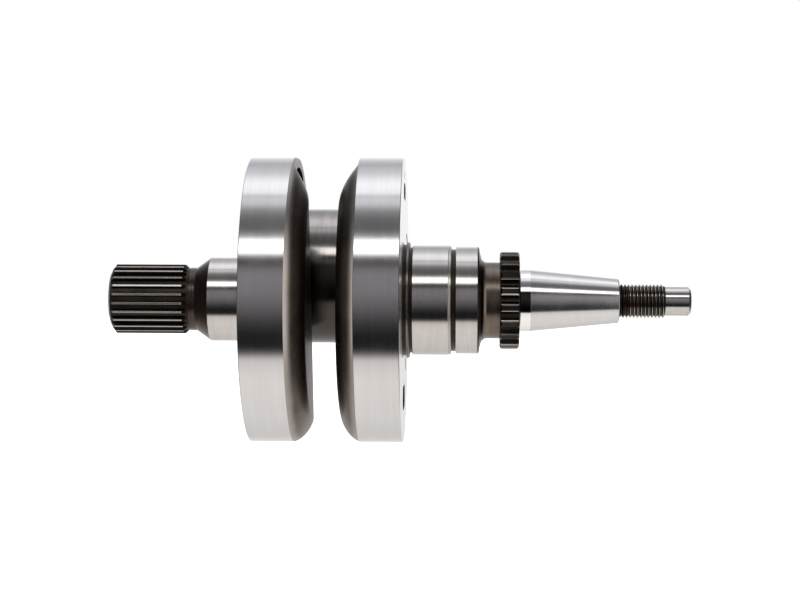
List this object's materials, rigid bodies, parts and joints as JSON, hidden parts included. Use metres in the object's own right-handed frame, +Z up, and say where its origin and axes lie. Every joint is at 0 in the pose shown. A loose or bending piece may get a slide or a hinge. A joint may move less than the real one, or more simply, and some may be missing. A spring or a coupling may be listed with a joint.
{
  "type": "built-up crankshaft",
  "caption": "Pressed-together single-cylinder crankshaft: two round webs, splined drive end, timing sprocket, magneto taper, threaded end and a roller-bearing connecting rod.",
  "frame": {"origin": "on the shaft's axis, midway between the inner faces of the two webs", "axes": "+X along the shaft towards the magneto taper and thread, +Z up, +Y towards the side where the connecting rod points; the crankpin lies 19.2 degrees above +Y"},
  "size_m": [0.2417, 0.213, 0.1188],
  "materials": {
    "forged_crank_steel": "ground bright on rims, journals and taper, dark forged skin elsewhere",
    "hardened_sprocket_steel": "dark heat-treated with bright tooth edges",
    "ground_pin_steel": "ground and polished",
    "plug_steel": "turned",
    "washer_bronze_plate": "copper-bronze plated steel, satin",
    "forged_rod_steel": "shot-blasted forging with ground eyes",
    "bush_bronze": "bored bronze",
    "cage_steel": "silver-grey plated steel, satin",
    "roller_steel": "polished"
  },
  "bodies": {
    "crank": {"drive_crank_half": "forged_crank_steel", "magneto_crank_half": "forged_crank_steel", "timing_sprocket": "hardened_sprocket_steel", "crankpin": "ground_pin_steel", "drive_pin_plug": "plug_steel", "magneto_pin_plug": "plug_steel"},
    "rod": {"connecting_rod": "forged_rod_steel", "small_end_bush": "bush_bronze"},
    "cage": {"big_end_cage": "cage_steel"},
    "drive_washer": {"drive_thrust_washer": "washer_bronze_plate"},
    "magneto_washer": {"magneto_thrust_washer": "washer_bronze_plate"},
    "roller_01": {"big_end_roller_01": "roller_steel"},
    "roller_02": {"big_end_roller_02": "roller_steel"},
    "roller_03": {"big_end_roller_03": "roller_steel"},
    "roller_04": {"big_end_roller_04": "roller_steel"},
    "roller_05": {"big_end_roller_05": "roller_steel"},
    "roller_06": {"big_end_roller_06": "roller_steel"},
    "roller_07": {"big_end_roller_07": "roller_steel"},
    "roller_08": {"big_end_roller_08": "roller_steel"},
    "roller_09": {"big_end_roller_09": "roller_steel"},
    "roller_10": {"big_end_roller_10": "roller_steel"},
    "roller_11": {"big_end_roller_11": "roller_steel"},
    "roller_12": {"big_end_roller_12": "roller_steel"},
    "roller_13": {"big_end_roller_13": "roller_steel"},
    "roller_14": {"big_end_roller_14": "roller_steel"},
    "roller_15": {"big_end_roller_15": "roller_steel"},
    "roller_16": {"big_end_roller_16": "roller_steel"}
  },
  "joints": [
    {"name": "rod_swing", "type": "hinge", "parent": "crank", "child": "rod", "pos_m": [0, 0.02956, 0.01029], "axis": [1, 0, 0], "continuous": true},
    {"name": "cage_turn", "type": "hinge", "parent": "crank", "child": "cage", "pos_m": [0, 0.02956, 0.01029], "axis": [1, 0, 0], "continuous": true},
    {"name": "drive_washer_turn", "type": "hinge", "parent": "crank", "child": "drive_washer", "pos_m": [0, 0.02956, 0.01029], "axis": [1, 0, 0], "continuous": true},
    {"name": "magneto_washer_turn", "type": "hinge", "parent": "crank", "child": "magneto_washer", "pos_m": [0, 0.02956, 0.01029], "axis": [1, 0, 0], "continuous": true},
    {"name": "roller_01_spin", "type": "hinge", "parent": "cage", "child": "roller_01", "pos_m": [0, 0.05006, 0.01029], "axis": [1, 0, 0], "continuous": true},
    {"name": "roller_02_spin", "type": "hinge", "parent": "cage", "child": "roller_02", "pos_m": [0, 0.0485, 0.01814], "axis": [1, 0, 0], "continuous": true},
    {"name": "roller_03_spin", "type": "hinge", "parent": "cage", "child": "roller_03", "pos_m": [0, 0.04405, 0.02479], "axis": [1, 0, 0], "continuous": true},
    {"name": "roller_04_spin", "type": "hinge", "parent": "cage", "child": "roller_04", "pos_m": [0, 0.0374, 0.02923], "axis": [1, 0, 0], "continuous": true},
    {"name": "roller_05_spin", "type": "hinge", "parent": "cage", "child": "roller_05", "pos_m": [0, 0.02956, 0.03079], "axis": [1, 0, 0], "continuous": true},
    {"name": "roller_06_spin", "type": "hinge", "parent": "cage", "child": "roller_06", "pos_m": [0, 0.02171, 0.02923], "axis": [1, 0, 0], "continuous": true},
    {"name": "roller_07_spin", "type": "hinge", "parent": "cage", "child": "roller_07", "pos_m": [0, 0.01506, 0.02479], "axis": [1, 0, 0], "continuous": true},
    {"name": "roller_08_spin", "type": "hinge", "parent": "cage", "child": "roller_08", "pos_m": [0, 0.01062, 0.01814], "axis": [1, 0, 0], "continuous": true},
    {"name": "roller_09_spin", "type": "hinge", "parent": "cage", "child": "roller_09", "pos_m": [0, 0.00906, 0.01029], "axis": [1, 0, 0], "continuous": true},
    {"name": "roller_10_spin", "type": "hinge", "parent": "cage", "child": "roller_10", "pos_m": [0, 0.01062, 0.00245], "axis": [1, 0, 0], "continuous": true},
    {"name": "roller_11_spin", "type": "hinge", "parent": "cage", "child": "roller_11", "pos_m": [0, 0.01506, -0.0042], "axis": [1, 0, 0], "continuous": true},
    {"name": "roller_12_spin", "type": "hinge", "parent": "cage", "child": "roller_12", "pos_m": [0, 0.02171, -0.00865], "axis": [1, 0, 0], "continuous": true},
    {"name": "roller_13_spin", "type": "hinge", "parent": "cage", "child": "roller_13", "pos_m": [0, 0.02956, -0.01021], "axis": [1, 0, 0], "continuous": true},
    {"name": "roller_14_spin", "type": "hinge", "parent": "cage", "child": "roller_14", "pos_m": [0, 0.0374, -0.00865], "axis": [1, 0, 0], "continuous": true},
    {"name": "roller_15_spin", "type": "hinge", "parent": "cage", "child": "roller_15", "pos_m": [0, 0.04405, -0.0042], "axis": [1, 0, 0], "continuous": true},
    {"name": "roller_16_spin", "type": "hinge", "parent": "cage", "child": "roller_16", "pos_m": [0, 0.0485, 0.00245], "axis": [1, 0, 0], "continuous": true}
  ],
  "couplings": [
    {"joint": "cage_turn", "follows": "rod_swing", "ratio": 0.56098},
    {"joint": "roller_01_spin", "follows": "rod_swing", "ratio": 4.039},
    {"joint": "roller_02_spin", "follows": "rod_swing", "ratio": 4.039},
    {"joint": "roller_03_spin", "follows": "rod_swing", "ratio": 4.039},
    {"joint": "roller_04_spin", "follows": "rod_swing", "ratio": 4.039},
    {"joint": "roller_05_spin", "follows": "rod_swing", "ratio": 4.039},
    {"joint": "roller_06_spin", "follows": "rod_swing", "ratio": 4.039},
    {"joint": "roller_07_spin", "follows": "rod_swing", "ratio": 4.039},
    {"joint": "roller_08_spin", "follows": "rod_swing", "ratio": 4.039},
    {"joint": "roller_09_spin", "follows": "rod_swing", "ratio": 4.039},
    {"joint": "roller_10_spin", "follows": "rod_swing", "ratio": 4.039},
    {"joint": "roller_11_spin", "follows": "rod_swing", "ratio": 4.039},
    {"joint": "roller_12_spin", "follows": "rod_swing", "ratio": 4.039},
    {"joint": "roller_13_spin", "follows": "rod_swing", "ratio": 4.039},
    {"joint": "roller_14_spin", "follows": "rod_swing", "ratio": 4.039},
    {"joint": "roller_15_spin", "follows": "rod_swing", "ratio": 4.039},
    {"joint": "roller_16_spin", "follows": "rod_swing", "ratio": 4.039}
  ]
}
